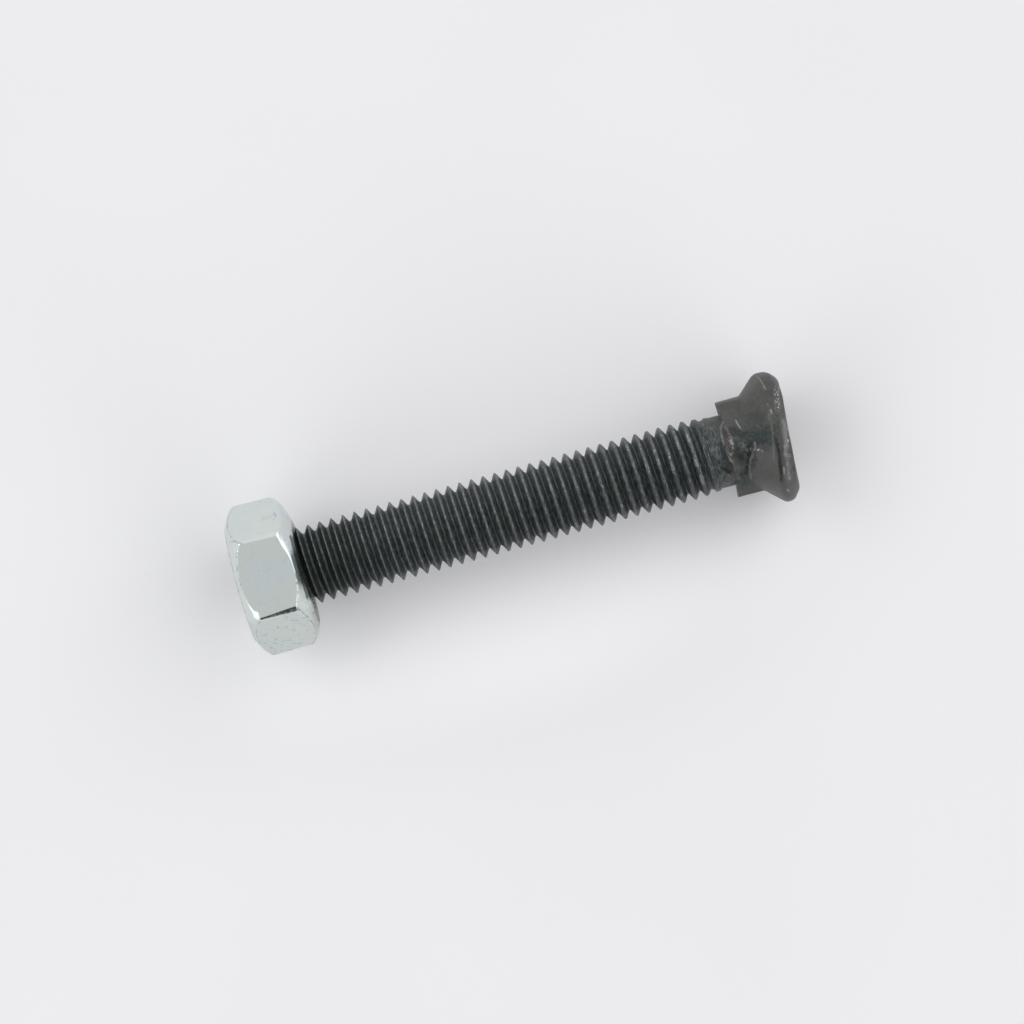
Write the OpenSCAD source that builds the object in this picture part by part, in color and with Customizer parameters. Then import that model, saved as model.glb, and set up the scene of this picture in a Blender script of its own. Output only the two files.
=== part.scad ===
// Plow bolt with a square neck and a countersunk head, lying on a flat of its hexagon nut.
// Axes: X along the bolt, from the nut to the head. Z up. The origin is under the middle of the part.

/* [Bolt] */
// Length from the free end to the middle of the head's outer face
bolt_length = 70; // [45:1:100]
// Diameter of the plain shank under the neck
shank_d = 8.9; // [8.6:0.05:9.3]
// Size of the 45 degree chamfer on the free end
end_chamfer = 1.1; // [0.6:0.1:1.6]

/* [Thread] */
// Diameter over the thread crests
crest_d = 9.85; // [9.75:0.01:9.95]
// Diameter at the thread roots
root_d = 7.9; // [7.8:0.05:8.1]
// Thread pitch
pitch = 1.5; // [1.4:0.05:1.75]
// Width of the flat on each crest
crest_flat = 0.15; // [0.1:0.01:0.2]
// Length over which the thread fades out towards the neck
runout = 3.6; // [2.5:0.1:5]
// Plain length between the thread and the neck
plain_length = 1.2; // [0.8:0.1:3]

/* [Neck] */
// Width of the square neck across its flats
neck_af = 10; // [9.8:0.1:10.6]
// Width of the neck across its rounded corners
neck_corner_d = 12.1; // [11.6:0.1:12.6]
// Length of the neck at its corners, up to the countersink
neck_length = 3.3; // [2:0.1:6]
// Depth to which the neck's end face is dished inside its corner tips
neck_dish = 0.35; // [0.1:0.05:0.5]
// Turn of the neck's corners about the axis, away from upright
neck_turn = 9.4; // [0:0.1:45]

/* [Head] */
// Diameter of the head over its rim
head_d = 16.4; // [15:0.1:19]
// Angle of the countersink, from side to side
seat_angle = 90; // [80:1:100]
// Thickness of the head above the countersink, at the axis
cap_height = 2.7; // [2.5:0.1:4]
// Rounding between the countersink and the rim
rim_round = 1.2; // [0.5:0.1:1.4]
// Rounding between the rim and the outer face
cap_round = 2.3; // [1.5:0.1:2.3]
// Rounding of the edge on the thin side of the slanted face
thin_edge_round = 1.35; // [0.8:0.05:1.6]
// Slant of the outer face
cap_slant = 4.3; // [1:0.1:5]

/* [Nut] */
// Width of the nut across its flats, 17 nominal
nut_af = 16.8; // [16.5:0.1:18]
// Thickness of the nut
nut_height = 8.4; // [6.5:0.1:10]
// Diameter over the nut's rounded corners
nut_corner_d = 19; // [18.7:0.1:19.3]
// Diameter of the flat face on the side that bears on the work
bearing_d = 14.5; // [13:0.1:15.5]
// Diameter of the flat face on the outer side
outer_face_d = 13.3; // [12.5:0.1:15.5]
// Radius that rounds the chamfer into the corners on the bearing side
bearing_round = 1.7; // [1:0.1:2.2]
// Radius that rounds the chamfer into the corners on the outer side
outer_round = 2.1; // [1:0.1:2.2]
// Radial clearance between the thread crests and the nut's bore
bore_clearance = 0.06; // [0.03:0.01:0.1]
// Depth of the countersinks at both ends of the bore
bore_sink = 0.45; // [0.2:0.05:0.8]
// Depth of the bolt's free end below the nut's outer face
end_recess = 0.7; // [0:0.1:2]

/* [Hidden] */
$fn = 96;
MARGIN = 1;
SEAT_INSET = 0.25;
CREST_SINK = 0.15;
THREAD_SIDES = 24;
ARC_STEPS = 8;
FLANK_ANGLE = 30;
CHAMFER_ANGLE = 30;

// Radii
crest_r = crest_d / 2;
root_r = root_d / 2;
shank_r = shank_d / 2;
corner_r = neck_corner_d / 2;
head_r = head_d / 2;

// Height of the axis. The part lies on the nut's flat, or on the head's rim if that is wider
axis_height = max(nut_af, head_d) / 2;

// Stations along the bolt, counted from its free end
rim_start = bolt_length - cap_height;
seat_start = rim_start - (head_r - corner_r) / tan(seat_angle / 2);
neck_start = seat_start - neck_length;
thread_end = neck_start - plain_length;
runout_start = thread_end - runout;

// One tooth of the thread, as station and radius pairs over one pitch
flank = (crest_r - root_r) * tan(FLANK_ANGLE);
tooth = [
    [0, crest_r],
    [crest_flat, crest_r],
    [crest_flat + flank, root_r],
    [pitch - flank, root_r]
];
rows = len(tooth);
first_turn = -2;
last_turn = ceil(neck_start / pitch);
steps = (last_turn - first_turn) * THREAD_SIDES;

// Puts a shape drawn along +Z onto the bolt's axis, with its zero at the free end
module on_axis() {
    translate([(end_recess - bolt_length) / 2, 0, axis_height])
        rotate([0, 90, 0])
            children();
}

// The crest sinks to just under the plain shank where the thread ends
function crest_radius(station) =
    let (
        sunk_r = shank_r - CREST_SINK,
        share = max(0, min(1, (thread_end - station) / runout))
    )
    sunk_r + (crest_r - sunk_r) * sqrt(share);

function thread_point(step, row) =
    let (
        angle = 360 * step / THREAD_SIDES,
        station = (first_turn + step / THREAD_SIDES) * pitch + tooth[row][0],
        radius = tooth[row][1] == crest_r ? crest_radius(station) : root_r
    )
    [radius * cos(angle), radius * sin(angle), station];

// Index of a thread point. A row past the last one is the first row, one turn further on
function at(step, row) =
    row < rows ? step * rows + row : (step + THREAD_SIDES) * rows + row - rows;

// Right-hand thread as one closed strip of triangles, longer than the bolt at its free end
module thread() {
    points = [
        for (step = [0 : steps], row = [0 : rows - 1]) thread_point(step, row)
    ];
    start_hub = len(points);
    end_hub = start_hub + 1;
    hubs = [
        [0, 0, (first_turn + 0.5) * pitch],
        [0, 0, (last_turn + 0.5) * pitch]
    ];
    last_joined = steps - THREAD_SIDES;
    sides = [
        for (step = [0 : steps - 1], row = [0 : rows - 1])
            if (row < rows - 1 || step < last_joined)
                each [
                    [at(step, row), at(step, row + 1), at(step + 1, row)],
                    [at(step + 1, row), at(step, row + 1), at(step + 1, row + 1)]
                ]
    ];
    start_loop = concat(
        [for (step = [0 : THREAD_SIDES]) at(step, 0)],
        [for (row = [rows - 1 : -1 : 1]) at(0, row)]
    );
    end_loop = concat(
        [for (step = [last_joined : steps]) at(step, rows - 1)],
        [for (row = [rows - 2 : -1 : 0]) at(steps, row)]
    );
    start_cap = [
        for (i = [0 : len(start_loop) - 1])
            [start_hub, start_loop[i], start_loop[(i + 1) % len(start_loop)]]
    ];
    end_cap = [
        for (i = [0 : len(end_loop) - 1])
            [end_hub, end_loop[(i + 1) % len(end_loop)], end_loop[i]]
    ];
    polyhedron(concat(points, hubs), concat(sides, start_cap, end_cap));
}

// What is left of the bolt after its free end is cut flat and chamfered
module end_trim() {
    rotate_extrude()
        polygon([
            [0, 0],
            [crest_r - end_chamfer, 0],
            [crest_r + MARGIN, end_chamfer + MARGIN],
            [crest_r + MARGIN, bolt_length],
            [0, bolt_length]
        ]);
}

// Plain shank, with the cone on which the thread runs out
module shank() {
    rotate_extrude()
        polygon([
            [0, runout_start],
            [root_r - bore_clearance, runout_start],
            [shank_r, thread_end],
            [shank_r, neck_start + neck_dish + MARGIN],
            [0, neck_start + neck_dish + MARGIN]
        ]);
}

// Square neck with rounded corners, and an end face that leaves four proud tips
module neck() {
    difference() {
        intersection() {
            rotate([0, 0, 45 + neck_turn])
                translate([-neck_af / 2, -neck_af / 2, neck_start])
                    cube([neck_af, neck_af, neck_length + MARGIN]);
            cylinder(h = seat_start + MARGIN / 2, r = corner_r);
        }
        rotate_extrude()
            polygon([
                [0, neck_start - MARGIN],
                [corner_r + MARGIN, neck_start - MARGIN],
                [corner_r, neck_start],
                [shank_r, neck_start + neck_dish],
                [0, neck_start + neck_dish]
            ]);
    }
}

// Points of an arc about a centre, from one angle to another
function arc(centre, radius, from, to) = [
    for (i = [0 : ARC_STEPS])
        let (angle = from + (to - from) * i / ARC_STEPS)
        centre + radius * [cos(angle), sin(angle)]
];

// Countersink, rim and rounding, before the slanted face is cut
module head_blank() {
    foot_r = neck_af / 2 - SEAT_INSET;
    foot_station = rim_start - (head_r - foot_r) / tan(seat_angle / 2);
    blank_top = bolt_length + head_r * tan(cap_slant);
    rim_centre = [head_r - rim_round, rim_start + rim_round * tan(seat_angle / 4)];
    cap_centre = [head_r - cap_round, blank_top - cap_round];
    rotate_extrude()
        polygon(concat(
            [[0, foot_station], [foot_r, foot_station]],
            arc(rim_centre, rim_round, -seat_angle / 2, 0),
            arc(cap_centre, cap_round, 0, 90),
            [[0, blank_top]]
        ));
}

// The blank is trimmed by a slanted disc, which is off centre so that its own edge rounds the thin side
module head() {
    disc_shift = thin_edge_round / 2;
    disc_r = head_r + disc_shift;
    intersection() {
        head_blank();
        translate([0, disc_shift, bolt_length])
            rotate([cap_slant, 0, 0])
                rotate_extrude()
                    polygon(concat(
                        [[0, -head_d], [disc_r, -head_d]],
                        arc([disc_r - thin_edge_round, -thin_edge_round], thin_edge_round, 0, 90),
                        [[0, 0]]
                    ));
    }
}

module plow_bolt() {
    color([0.17, 0.18, 0.18])
        on_axis()
            union() {
                intersection() {
                    thread();
                    end_trim();
                }
                shank();
                neck();
                head();
            }
}

// Half of the nut's barrel outline: a flat face, a 30 degree chamfer and an arc into the corners
function chamfer_outline(face_r, radius) =
    let (
        touch = nut_corner_d / 2 - radius * (1 - sin(CHAMFER_ANGLE)),
        drop = (touch - face_r) * tan(CHAMFER_ANGLE),
        centre = [nut_corner_d / 2 - radius, drop + radius * cos(CHAMFER_ANGLE)]
    )
    concat([[0, 0], [face_r, 0]], arc(centre, radius, CHAMFER_ANGLE - 90, 0));

module nut_barrel() {
    outer = chamfer_outline(outer_face_d / 2, outer_round);
    bearing = chamfer_outline(bearing_d / 2, bearing_round);
    turned = [
        for (i = [len(bearing) - 1 : -1 : 0]) [bearing[i][0], nut_height - bearing[i][1]]
    ];
    rotate_extrude()
        polygon(concat(outer, turned));
}

// Plain bore that clears the crests, with a 45 degree countersink at each end
module nut_bore() {
    bore_r = crest_r + bore_clearance;
    rotate_extrude()
        polygon([
            [0, -MARGIN],
            [bore_r + bore_sink + MARGIN, -MARGIN],
            [bore_r, bore_sink],
            [bore_r, nut_height - bore_sink],
            [bore_r + bore_sink + MARGIN, nut_height + MARGIN],
            [0, nut_height + MARGIN]
        ]);
}

module hex_nut() {
    color([0.72, 0.75, 0.74])
        on_axis()
            translate([0, 0, -end_recess])
                difference() {
                    intersection() {
                        rotate([0, 0, 30])
                            cylinder(h = nut_height, r = nut_af / 2 / cos(30), $fn = 6);
                        nut_barrel();
                    }
                    nut_bore();
                }
}

plow_bolt();
hex_nut();
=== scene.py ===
import math

import bpy
from mathutils import Matrix, Vector, noise


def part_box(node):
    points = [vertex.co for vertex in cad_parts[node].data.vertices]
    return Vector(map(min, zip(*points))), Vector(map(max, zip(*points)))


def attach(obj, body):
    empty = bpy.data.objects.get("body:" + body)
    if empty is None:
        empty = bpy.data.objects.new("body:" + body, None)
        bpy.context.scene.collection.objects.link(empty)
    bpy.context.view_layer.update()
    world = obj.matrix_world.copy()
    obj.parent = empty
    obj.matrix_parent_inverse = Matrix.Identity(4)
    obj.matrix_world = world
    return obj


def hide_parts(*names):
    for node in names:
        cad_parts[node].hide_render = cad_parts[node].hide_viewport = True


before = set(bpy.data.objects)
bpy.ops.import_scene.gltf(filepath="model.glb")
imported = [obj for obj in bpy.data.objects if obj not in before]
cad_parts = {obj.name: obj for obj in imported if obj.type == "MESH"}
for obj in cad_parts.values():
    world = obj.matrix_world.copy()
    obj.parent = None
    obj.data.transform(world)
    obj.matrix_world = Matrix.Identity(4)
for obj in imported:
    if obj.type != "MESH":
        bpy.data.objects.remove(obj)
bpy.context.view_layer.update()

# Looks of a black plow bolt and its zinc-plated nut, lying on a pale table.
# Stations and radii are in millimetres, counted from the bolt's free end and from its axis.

MM = 0.001
TAU = 2 * math.pi

# ---------------------------------------------------------------- sizes of the bolt

CREST_R = 4.925
ROOT_R = 3.95
SHANK_R = 4.45
PITCH = 1.5
END_CHAMFER = 1.1
THREAD_END = 60.65
RUNOUT = 3.6
NECK_FLAT_R = 5.0
NECK_CORNER_R = 6.05
NECK_ROUNDING = 0.12
NECK_TURN = math.radians(9.4)
HEAD_R = 8.2
SEAT_END = 67.3
FACE_MIDDLE = 69.95

# ---------------------------------------------------------------- the thread's form and wear

# A crest meets angle 0 a quarter of a pitch, and this shift, past each whole pitch
CREST_TURN = 0.25
CREST_SHIFT = 0.075
FLANK_ANGLE = math.radians(30)
ROOT_ROUNDING = 0.10
CHAMFER_ROUNDING = 0.06

# Crests are sharp up to one station and worn blunt from another on: half width of the flat, rounding
SHARP_TO = 12
BLUNT_FROM = 55
SHARP_FLAT, SHARP_ROUNDING = 0.045, 0.03
BLUNT_FLAT, BLUNT_ROUNDING = 0.13, 0.12
CREST_WAVE = 0.012
CHIP_DEPTH = 0.07

# ---------------------------------------------------------------- sizes of the nut

NUT_FLAT_R = 8.4
NUT_CORNER_R = 9.62
NUT_CORNER_WEAR = 0.12
# Depth below the outer face from which painted shade darkens the bearing end
SHADE_RING_DEPTH = 7.78
NUT_START = -0.48
NUT_HEIGHT = 8.18
BORE_R = 4.985
BORE_SINK = 0.45
NUT_MINOR_R = 4.3
NUT_THREAD_HALF_FLAT = 0.075
THREAD_GAP = 0.13
END_RECESS = 0.7

# Chamfers of the nut: radius of the flat end face, depth at a corner, and how round the chamfer is.
# The bearing end's is rounder towards +Y and -Y than on top and below.
OUTER_CHAMFER = (7.4, 1.71, 1.53)
BEARING_CHAMFER = (7.2, 1.55, 1.03)
BEARING_CHAMFER_AT_Y = (6.2, 2.3, 2.5)
BEARING_CHAMFER_AT_MINUS_Y = (7.3, 1.7, 2.0)

# The upper corner on the -Y side is knocked: degrees, and how far the knock spreads
KNOCKED_CORNER = 120
KNOCK_SPREAD = 11

# Depths over which wear of the bearing chamfer's edge sets in, and how round an unworn edge is
BEARING_EDGE = (6.3, 6.8)
EDGE_ROUNDING = 0.04

# ---------------------------------------------------------------- where the axis lies

nut_low, nut_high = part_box("hex_nut")
AXIS_Z = (nut_low.z + nut_high.z) / 2
NUT_X = nut_low.x
END_X = NUT_X + END_RECESS * MM


def on_axis(station, radius, angle):
    """A point round the bolt. Angle 0 is +Y, and a quarter turn is straight up."""
    return (
        END_X + station * MM,
        radius * MM * math.cos(angle),
        AXIS_Z + radius * MM * math.sin(angle),
    )


def smooth_min(a, b, blend):
    """The smaller of two numbers, rounded over where they cross."""
    near = max(blend - abs(a - b), 0) / blend
    return min(a, b) - near * near * blend / 4


def smooth_max(a, b, blend):
    return -smooth_min(-a, -b, blend)


def ramp(value, low, high):
    """0 below low and 1 above high, with a smooth step between."""
    t = max(0.0, min(1.0, (value - low) / (high - low)))
    return t * t * (3 - 2 * t)


def mix(a, b, share):
    return a + (b - a) * share


def wobble(station, angle, size, seed):
    """Smooth noise from -1 to 1 over a surface round the axis, with bumps of about that size."""
    at = Vector((station / size + seed, 6 * math.cos(angle) / size, 6 * math.sin(angle) / size))
    return noise.noise(at)


# ---------------------------------------------------------------- mesh from rows and columns


def mesh_object(name, points, faces, smooth=True):
    mesh = bpy.data.meshes.new(name)
    mesh.from_pydata(points, [], faces)
    for polygon in mesh.polygons:
        polygon.use_smooth = smooth
    made = bpy.data.objects.new(name, mesh)
    bpy.context.scene.collection.objects.link(made)
    return made


class Skin:
    """Vertices that are shared by key, the faces between them, and paint: values kept for the materials."""

    def __init__(self, *paints):
        self.points = []
        self.paints = {name: [] for name in paints}
        self.keys = {}
        self.faces = []

    def vertex(self, key, point, **paint):
        if key not in self.keys:
            self.keys[key] = len(self.points)
            self.points.append(point)
            for name, values in self.paints.items():
                values.append(paint.get(name, 0.0))
        return self.keys[key]

    def face(self, *corners):
        ring = []
        for corner in corners:
            if corner not in ring:
                ring.append(corner)
        if len(ring) > 2:
            self.faces.append(ring)

    def made(self, name):
        piece = mesh_object(name, self.points, self.faces)
        for paint, values in self.paints.items():
            piece.data.attributes.new(paint, "FLOAT", "POINT").data.foreach_set("value", values)
        return piece


def crowded_angles(count, corners, first_corner, crowding):
    """Angles round the axis, closer together near evenly spaced corners."""
    angles = []
    for i in range(count):
        even = TAU * i / count
        pull = crowding * math.sin(corners * (even - first_corner)) / corners
        angles.append(even - pull)
    base = angles[0]
    return [a - base for a in angles]


# ---------------------------------------------------------------- the thread's form


def tooth_offset(station, angle):
    """Distance along the axis from the nearest crest, in a right-hand thread."""
    crest_at = (angle / TAU + CREST_TURN) * PITCH + CREST_SHIFT
    return (station - crest_at + PITCH / 2) % PITCH - PITCH / 2


def thread_radius(station, angle):
    """Radius of the bolt's thread, with crests that are sharp near the nut and blunter near the head."""
    away = abs(tooth_offset(station, angle))
    worn = ramp(station, SHARP_TO, BLUNT_FROM)
    half_flat = mix(SHARP_FLAT, BLUNT_FLAT, worn)
    crest = CREST_R + CREST_WAVE * wobble(station, angle, size=1.7, seed=3.1)
    crest -= CHIP_DEPTH * ramp(wobble(station, angle, size=0.8, seed=17.0), 0.3, 0.6)
    fade = max(0.0, min(1.0, (THREAD_END + 0.25 - station) / (RUNOUT + 0.25)))
    crest = mix(SHANK_R - 0.15, crest, math.sqrt(fade))
    root = mix(ROOT_R, SHANK_R, ramp(station, THREAD_END - RUNOUT, THREAD_END))
    slope = CREST_R - (away - half_flat) / math.tan(FLANK_ANGLE)
    rounded = smooth_min(slope, crest, mix(SHARP_ROUNDING, BLUNT_ROUNDING, worn))
    return smooth_max(rounded, root, ROOT_ROUNDING)


def gathered(station, angle):
    """The station of a vertex, drawn in towards the crest where the thread is sharp."""
    offset = tooth_offset(station, angle)
    if abs(offset) > 0.2:
        return station
    return station - offset * mix(0.4, 0.0, ramp(station, SHARP_TO, BLUNT_FROM))


def bolt_thread(station, angle):
    """Radius of the thread, cut down by the chamfer at the free end."""
    chamfer = CREST_R - END_CHAMFER + station
    return smooth_min(thread_radius(station, angle), chamfer, CHAMFER_ROUNDING)


# ---------------------------------------------------------------- the neck and the head

# Each form below is a list of stops round the axis: degrees from +Y, with 90 on top, and a value
NECK_EDGE = [(9, 62.02), (32, 62.30), (50, 62.36), (70, 61.55), (90, 61.47), (111, 61.96), (144, 62.20),
             (189, 61.80), (234, 62.20), (279, 61.90), (324, 62.20)]
LEAF = [(46, 0.0), (66, 1.0), (94, 1.0), (113, 0.0), (230, 0.0)]
SEAT_FILLET = [(20, 0.35), (95, 0.45), (120, 1.2), (160, 1.0), (200, 0.4), (290, 0.4)]
CREASE = [(0, 67.50), (22, 68.05), (45, 68.18), (66, 68.08), (90, 67.60), (135, 67.00), (180, 67.40),
          (270, 67.40)]
CREASE_ROUND = [(0, 1.3), (22, 0.7), (50, 0.3), (140, 0.3), (180, 1.0), (270, 0.8)]
BAND = [(0, 69.00), (28, 69.40), (45, 69.62), (90, 68.66), (135, 67.65), (180, 68.45), (270, 68.50)]
BROW = [(0, 70.38), (45, 70.10), (90, 69.50), (135, 69.30), (180, 69.42), (225, 69.70), (270, 69.95),
        (315, 70.20)]
BROW_R = [(0, 6.90), (45, 7.60), (90, 7.30), (135, 7.00), (180, 6.95), (270, 7.30)]
BROW_ROUND = [(0, 1.8), (40, 0.7), (90, 0.4), (135, 0.8), (180, 1.2), (270, 1.2)]

# Hollows and lumps from forging: station, degrees, half length, half width, depth (a lump's is negative)
HOLLOWS = [
    (64.45, 94, 0.34, 0.34, 0.34),
    (64.25, 102, 0.28, 0.42, 0.36),
    (63.90, 111, 0.26, 0.46, 0.30),
    (63.60, 120, 0.24, 0.50, 0.26),
    (63.35, 130, 0.22, 0.45, 0.16),
    (63.05, 93, 0.34, 0.40, 0.14),
    (62.95, 104, 0.30, 0.40, 0.10),
    (61.20, 122, 0.28, 0.55, 0.14),
    (67.35, 104, 0.16, 1.20, 0.07),
    (67.30, 122, 0.16, 1.30, 0.10),
    (69.10, 127, 0.22, 0.50, 0.14),
    (68.95, 110, 0.14, 0.24, 0.11),
    (69.50, 46, 0.14, 0.40, 0.08),
    (69.35, 57, 0.14, 0.40, 0.09),
    (66.10, 100, 0.30, 0.25, 0.06),
    (69.62, 97, 0.15, 0.22, -0.17),
    (65.40, 98, 0.16, 0.22, -0.12),
    (63.75, 92, 0.20, 0.18, -0.16),
]
# A hollow this deep gets full painted shade
FULL_SHADE_DEPTH = 0.22


def around(angle, stops):
    """The value at an angle, run smoothly through stops of (degrees, value)."""
    turn = math.degrees(angle) % 360
    ring = [(stops[-1][0] - 360, stops[-1][1])] + stops + [(stops[0][0] + 360, stops[0][1])]
    for (low, a), (high, b) in zip(ring, ring[1:]):
        if low <= turn <= high:
            return mix(a, b, ramp(turn, low, high))
    return stops[0][1]


def hollow(station, angle, radius):
    """How deep the hollows are at a point, and how much painted shade they put there."""
    depth = 0.0
    grime_and_shade = 0.0
    for at, degrees, half_length, half_width, deep in HOLLOWS:
        along = (station - at) / half_length
        off = (angle - math.radians(degrees) + math.pi) % TAU - math.pi
        round_it = off * radius / half_width
        far = along * along + round_it * round_it
        if far < 9:
            share = math.exp(-far)
            depth += deep * share
            grime_and_shade += max(deep, 0) * share / FULL_SHADE_DEPTH
    return depth, min(grime_and_shade, 1.0)


def neck_radius(angle):
    """Square neck with rounded corners. One corner points up, turned a little towards -Y."""
    quarter = math.pi / 2
    off_corner = (angle - NECK_TURN + quarter / 2) % quarter - quarter / 2
    off_flat = quarter / 2 - abs(off_corner)
    flat = NECK_FLAT_R / math.cos(off_flat)
    return smooth_min(flat, NECK_CORNER_R, NECK_ROUNDING)


# A turn smaller than this is a straight, and a fillet takes at most this share of a stretch
LEAST_TURN = 1e-4
FILLET_REACH = 0.45


def rounded_outline(points, radii, arc_steps, line_steps):
    """Points along an outline whose corners are rounded with the given radii."""
    out = [points[0]]
    start = Vector(points[0])
    for i in range(1, len(points) - 1):
        before = Vector(points[i - 1])
        corner = Vector(points[i])
        after = Vector(points[i + 1])
        way_in = (corner - before).normalized()
        way_out = (after - corner).normalized()
        turn = way_in.angle(way_out, 0.0)
        reach = FILLET_REACH * min((corner - before).length, (after - corner).length)
        if turn > LEAST_TURN:
            radius = min(radii[i], reach / math.tan(turn / 2))
            side = (way_out - way_in * math.cos(turn)) / math.sin(turn)
            cut = radius * math.tan(turn / 2)
        else:
            radius, side, cut = 0.0, way_in * 0, 0.1 * reach
        entry = corner - way_in * cut
        for k in range(1, line_steps[i - 1]):
            out.append(tuple(start.lerp(entry, k / line_steps[i - 1])))
        for k in range(arc_steps + 1):
            if turn > LEAST_TURN:
                a = turn * k / arc_steps
                out.append(tuple(entry + way_in * radius * math.sin(a) + side * radius * (1 - math.cos(a))))
            else:
                out.append(tuple(entry + way_in * 2 * cut * k / arc_steps))
        start = Vector(out[-1])
    last = Vector(points[-1])
    for k in range(1, line_steps[-1] + 1):
        out.append(tuple(start.lerp(last, k / line_steps[-1])))
    return out


# Rows of the skin round each corner of the outline below, and along each stretch between corners
ARC_STEPS = 5
LINE_STEPS = [5, 3, 4, 14, 18, 7, 8, 9, 5, 6]
LEAF_R = 4.80


def head_outline(angle, first_station):
    """From the plain shank over the neck, the countersink and the rim to the middle of the outer face."""
    neck = neck_radius(angle)
    corner_share = ramp(neck, 5.3, 6.0)
    leaf = around(angle, LEAF)
    edge = around(angle, NECK_EDGE)
    foot = edge + mix(0.04, 0.22, corner_share) * (1 - leaf)
    seat_foot = SEAT_END - (HEAD_R - neck)
    brow = around(angle, BROW)
    brow_r = around(angle, BROW_R)
    points = [
        (first_station, SHANK_R),
        (foot - 0.02, SHANK_R),
        (edge, mix(neck, LEAF_R, leaf)),
        (edge + mix(0.14, 1.02, leaf), neck),
        (seat_foot, neck),
        (around(angle, CREASE), HEAD_R),
        (around(angle, BAND), HEAD_R - 0.03),
        (brow, brow_r),
        (mix(brow, FACE_MIDDLE, 0.5), brow_r / 2),
        (FACE_MIDDLE, 0.12),
    ]
    fillet = around(angle, SEAT_FILLET)
    crease_round = around(angle, CREASE_ROUND)
    radii = [0, 0.12, 0.06, 0.06, fillet, crease_round, crease_round, around(angle, BROW_ROUND), 1.0, 0]
    return rounded_outline(points, radii, ARC_STEPS, LINE_STEPS)


# Marks on the upper side of the bolt: strength, width, and the stations and Ys that the mark runs through.
# Scuffs are scraped to bare metal, some of them with a painted highlight where the head's rim catches the
# light. Speckled patches hold specks of bare metal, and the rest are grime and stains, with painted shade
# in them too.
SCUFFS_AND_HIGHLIGHTS = [
    (0.22, 0.30, [(57.62, 3.20), (57.62, 2.00)]),
    (0.22, 0.34, [(57.71, 0.15), (57.71, -0.77)]),
    (0.18, 0.26, [(57.90, -2.20), (57.90, -3.10)]),
    (0.20, 0.26, [(56.20, 3.20), (56.20, 1.60)]),
    (0.26, 0.34, [(54.76, 0.20), (54.76, -0.46)]),
    (0.36, 0.12, [(62.30, 3.44), (61.85, 2.82), (61.56, 1.72), (61.61, 0.61), (61.76, -0.61),
                  (61.89, -1.59)]),
    (0.26, 0.11, [(62.35, 2.95), (62.63, 1.72), (62.68, 0.98), (62.49, 0.00), (62.19, -0.74)]),
    (0.70, 0.15, [(62.55, 1.00), (62.60, 0.50)]),
    (0.70, 0.15, [(61.95, -0.55), (62.10, -0.75)]),
    (0.52, 0.13, [(63.83, 3.19), (63.94, 2.70), (64.11, 2.09)]),
    (0.36, 0.13, [(65.27, 0.00), (65.16, -0.61)]),
    (1.00, 0.17, [(65.36, -0.98), (65.46, -1.00)]),
    (0.35, 0.16, [(65.80, -1.20), (65.86, -1.28)]),
    (0.30, 0.13, [(65.10, -0.73), (64.52, -1.47), (64.05, -2.33), (63.80, -3.19), (63.81, -4.18)]),
    (0.14, 0.13, [(67.83, 2.93), (67.62, 0.98), (67.44, 0.00), (67.26, -1.22), (66.87, -2.57)]),
    (0.30, 0.13, [(67.74, 7.89), (68.04, 7.38), (68.21, 6.38)]),
    (0.50, 0.17, [(68.21, 6.38), (68.22, 6.01)]),
    (0.30, 0.17, [(67.92, 4.16), (67.91, 3.79)]),
    (0.60, 0.16, [(68.15, 3.36), (68.08, 3.05)]),
    (0.28, 0.42, [(69.25, 1.60), (69.08, 0.00), (68.80, -1.22), (68.40, -2.44)]),
    (0.14, 0.34, [(68.62, -2.69), (68.35, -4.16), (68.15, -5.39)]),
    (0.75, 0.15, [(67.80, -4.03), (67.69, -4.65)]),
    (0.90, 0.14, [(69.17, -0.61), (69.17, -0.98)]),
    (0.45, 0.18, [(67.67, -6.63), (67.75, -6.88)]),
]
SPECKLED = [
    (0.90, 0.34, [(57.62, 3.20), (57.62, 2.00)]),
    (0.90, 0.38, [(57.71, 0.15), (57.71, -0.77)]),
    (0.70, 0.30, [(57.90, -2.20), (57.90, -3.10)]),
    (0.30, 0.30, [(56.20, 3.20), (56.20, 1.60)]),
    (1.00, 0.55, [(69.67, 5.64), (69.17, 4.04), (69.03, 3.42)]),
    (0.60, 0.50, [(68.70, -2.69), (68.45, -4.16), (68.25, -5.39)]),
    (0.38, 0.60, [(62.40, 1.20), (61.90, -1.20)]),
    (0.50, 0.60, [(63.60, 0.20), (64.30, -0.60)]),
]
# Grime marks that also carry painted shade, deepest where the neck meets the countersink and along the rim
GRIME_AND_SHADE_MARKS = [
    (0.95, 0.46, [(63.90, -0.70), (64.63, -1.10)]),
    (0.90, 0.36, [(64.30, -1.50), (63.85, -2.60), (63.34, -3.32)]),
    (0.55, 0.26, [(64.98, -0.49), (64.75, 0.12)]),
    (0.85, 0.32, [(67.78, -0.30), (67.66, -2.00), (67.45, -3.60), (67.18, -5.20)]),
    (0.80, 0.55, [(60.89, -2.09), (61.40, -2.71)]),
    (0.60, 0.40, [(62.85, -3.32), (63.02, -4.31)]),
    (0.50, 0.45, [(61.30, 0.90), (61.25, -0.90)]),
    (0.40, 0.60, [(62.70, -0.60), (63.30, -1.60)]),
    (0.50, 0.22, [(68.75, -3.30), (68.50, -4.60)]),
    (0.60, 0.16, [(69.25, -0.45), (69.25, -1.15)]),
]
BROWN = [(1.0, 0.85, [(61.98, 2.00), (62.13, -0.60)])]
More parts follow.
